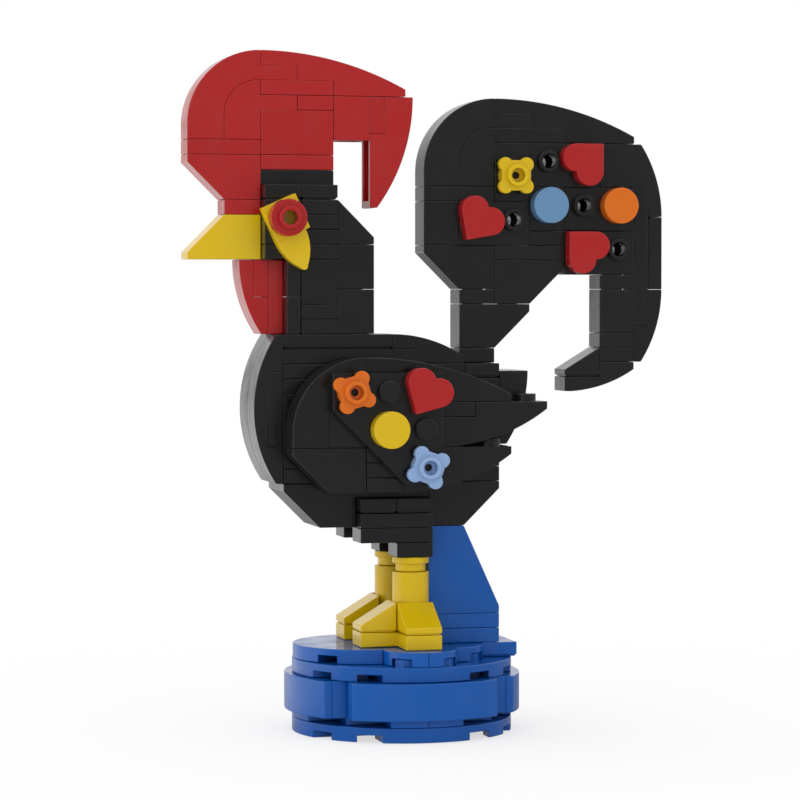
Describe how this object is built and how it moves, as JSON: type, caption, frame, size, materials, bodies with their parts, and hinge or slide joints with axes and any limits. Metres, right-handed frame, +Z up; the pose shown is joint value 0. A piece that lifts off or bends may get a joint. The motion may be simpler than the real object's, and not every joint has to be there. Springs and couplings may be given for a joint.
{
  "type": "brick-built rooster ornament",
  "caption": "Folk-art rooster built of studded plastic bricks on a round base, with wings, comb and hooked tail, and turning hearts, flowers, discs and eyes.",
  "frame": {"origin": "centre of the round base's underside, on the table", "axes": "+X from beak to tail, +Y towards the rooster's right side, +Z up"},
  "size_m": [0.1064, 0.0514, 0.1472],
  "materials": {
    "black": "moulded gloss plastic, black",
    "red": "moulded gloss plastic, red",
    "yellow": "moulded gloss plastic, warm yellow",
    "blue": "moulded gloss plastic, blue",
    "sky_blue": "moulded gloss plastic, greyed blue",
    "pale_blue": "moulded gloss plastic, pale blue",
    "orange": "moulded gloss plastic, orange"
  },
  "bodies": {
    "figure": {"thigh_plates": "black", "hip_jumpers": "black", "belly_slopes": "black", "body_plates": "black", "body_bricks": "black", "wing_brackets": "black", "back_jumpers": "black", "body_curves": "black", "breast_plates": "black", "neck_bricks": "black", "neck_plates": "black", "neck_jumpers": "black", "tail_bricks": "black", "tail_plates": "black", "tail_curves": "black", "wing_bricks": "black", "wing_plates": "black", "wing_curves": "black", "base_bottom_plate": "blue", "base_core_bricks": "blue", "base_side_plates": "blue", "base_bows": "blue", "base_spacers": "blue", "base_top_plate": "blue", "base_round_tiles": "blue", "base_jumpers": "blue", "support_plates": "blue", "support_slope": "blue", "foot_plates": "yellow", "toe_slopes": "yellow", "leg_rounds": "yellow", "beak": "yellow", "wattle_pieces": "red", "comb_bricks": "red", "comb_plates": "red", "comb_curves": "red"},
    "left_wing_orange_flower": {"left_wing_orange_flower": "orange"},
    "left_wing_heart": {"left_wing_heart": "red"},
    "left_wing_disc": {"left_wing_disc": "yellow"},
    "left_wing_blue_flower": {"left_wing_blue_flower": "pale_blue"},
    "left_tail_flower": {"left_tail_flower": "yellow"},
    "left_tail_top_heart": {"left_tail_top_heart": "red"},
    "left_tail_front_heart": {"left_tail_front_heart": "red"},
    "left_tail_low_heart": {"left_tail_low_heart": "red"},
    "left_tail_blue_disc": {"left_tail_blue_disc": "sky_blue"},
    "left_tail_orange_disc": {"left_tail_orange_disc": "orange"},
    "left_eye": {"left_eye_tooth": "yellow", "left_eye_ring": "red"},
    "right_wing_orange_flower": {"right_wing_orange_flower": "orange"},
    "right_wing_heart": {"right_wing_heart": "red"},
    "right_wing_disc": {"right_wing_disc": "yellow"},
    "right_wing_blue_flower": {"right_wing_blue_flower": "pale_blue"},
    "right_tail_flower": {"right_tail_flower": "yellow"},
    "right_tail_top_heart": {"right_tail_top_heart": "red"},
    "right_tail_front_heart": {"right_tail_front_heart": "red"},
    "right_tail_low_heart": {"right_tail_low_heart": "red"},
    "right_tail_blue_disc": {"right_tail_blue_disc": "sky_blue"},
    "right_tail_orange_disc": {"right_tail_orange_disc": "orange"},
    "right_eye": {"right_eye_tooth": "yellow", "right_eye_ring": "red"}
  },
  "joints": [
    {"name": "left_wing_orange_flower_turn", "type": "hinge", "parent": "figure", "child": "left_wing_orange_flower", "pos_m": [-0.016, -0.0224, 0.0744], "axis": [0, 1, 0], "continuous": true},
    {"name": "left_wing_heart_turn", "type": "hinge", "parent": "figure", "child": "left_wing_heart", "pos_m": [0, -0.0224, 0.0744], "axis": [0, 1, 0], "continuous": true},
    {"name": "left_wing_disc_turn", "type": "hinge", "parent": "figure", "child": "left_wing_disc", "pos_m": [-0.008, -0.0224, 0.0664], "axis": [0, 1, 0], "continuous": true},
    {"name": "left_wing_blue_flower_turn", "type": "hinge", "parent": "figure", "child": "left_wing_blue_flower", "pos_m": [0, -0.0224, 0.0584], "axis": [0, 1, 0], "continuous": true},
    {"name": "left_tail_flower_turn", "type": "hinge", "parent": "figure", "child": "left_tail_flower", "pos_m": [0.024, -0.0056, 0.1208], "axis": [0, 1, 0], "continuous": true},
    {"name": "left_tail_top_heart_turn", "type": "hinge", "parent": "figure", "child": "left_tail_top_heart", "pos_m": [0.04, -0.0056, 0.124], "axis": [0, 1, 0], "continuous": true},
    {"name": "left_tail_front_heart_turn", "type": "hinge", "parent": "figure", "child": "left_tail_front_heart", "pos_m": [0.016, -0.0056, 0.1112], "axis": [0, 1, 0], "continuous": true},
    {"name": "left_tail_low_heart_turn", "type": "hinge", "parent": "figure", "child": "left_tail_low_heart", "pos_m": [0.04, -0.0056, 0.1048], "axis": [0, 1, 0], "continuous": true},
    {"name": "left_tail_blue_disc_turn", "type": "hinge", "parent": "figure", "child": "left_tail_blue_disc", "pos_m": [0.032, -0.0056, 0.1144], "axis": [0, 1, 0], "continuous": true},
    {"name": "left_tail_orange_disc_turn", "type": "hinge", "parent": "figure", "child": "left_tail_orange_disc", "pos_m": [0.048, -0.0056, 0.1144], "axis": [0, 1, 0], "continuous": true},
    {"name": "left_eye_turn", "type": "hinge", "parent": "figure", "child": "left_eye", "pos_m": [-0.028, -0.0096, 0.1112], "axis": [0, 1, 0], "continuous": true},
    {"name": "right_wing_orange_flower_turn", "type": "hinge", "parent": "figure", "child": "right_wing_orange_flower", "pos_m": [-0.016, 0.0224, 0.0744], "axis": [0, 1, 0], "continuous": true},
    {"name": "right_wing_heart_turn", "type": "hinge", "parent": "figure", "child": "right_wing_heart", "pos_m": [0, 0.0224, 0.0744], "axis": [0, 1, 0], "continuous": true},
    {"name": "right_wing_disc_turn", "type": "hinge", "parent": "figure", "child": "right_wing_disc", "pos_m": [-0.008, 0.0224, 0.0664], "axis": [0, 1, 0], "continuous": true},
    {"name": "right_wing_blue_flower_turn", "type": "hinge", "parent": "figure", "child": "right_wing_blue_flower", "pos_m": [0, 0.0224, 0.0584], "axis": [0, 1, 0], "continuous": true},
    {"name": "right_tail_flower_turn", "type": "hinge", "parent": "figure", "child": "right_tail_flower", "pos_m": [0.024, 0.0056, 0.1208], "axis": [0, 1, 0], "continuous": true},
    {"name": "right_tail_top_heart_turn", "type": "hinge", "parent": "figure", "child": "right_tail_top_heart", "pos_m": [0.04, 0.0056, 0.124], "axis": [0, 1, 0], "continuous": true},
    {"name": "right_tail_front_heart_turn", "type": "hinge", "parent": "figure", "child": "right_tail_front_heart", "pos_m": [0.016, 0.0056, 0.1112], "axis": [0, 1, 0], "continuous": true},
    {"name": "right_tail_low_heart_turn", "type": "hinge", "parent": "figure", "child": "right_tail_low_heart", "pos_m": [0.04, 0.0056, 0.1048], "axis": [0, 1, 0], "continuous": true},
    {"name": "right_tail_blue_disc_turn", "type": "hinge", "parent": "figure", "child": "right_tail_blue_disc", "pos_m": [0.032, 0.0056, 0.1144], "axis": [0, 1, 0], "continuous": true},
    {"name": "right_tail_orange_disc_turn", "type": "hinge", "parent": "figure", "child": "right_tail_orange_disc", "pos_m": [0.048, 0.0056, 0.1144], "axis": [0, 1, 0], "continuous": true},
    {"name": "right_eye_turn", "type": "hinge", "parent": "figure", "child": "right_eye", "pos_m": [-0.028, 0.0096, 0.1112], "axis": [0, 1, 0], "continuous": true}
  ]
}
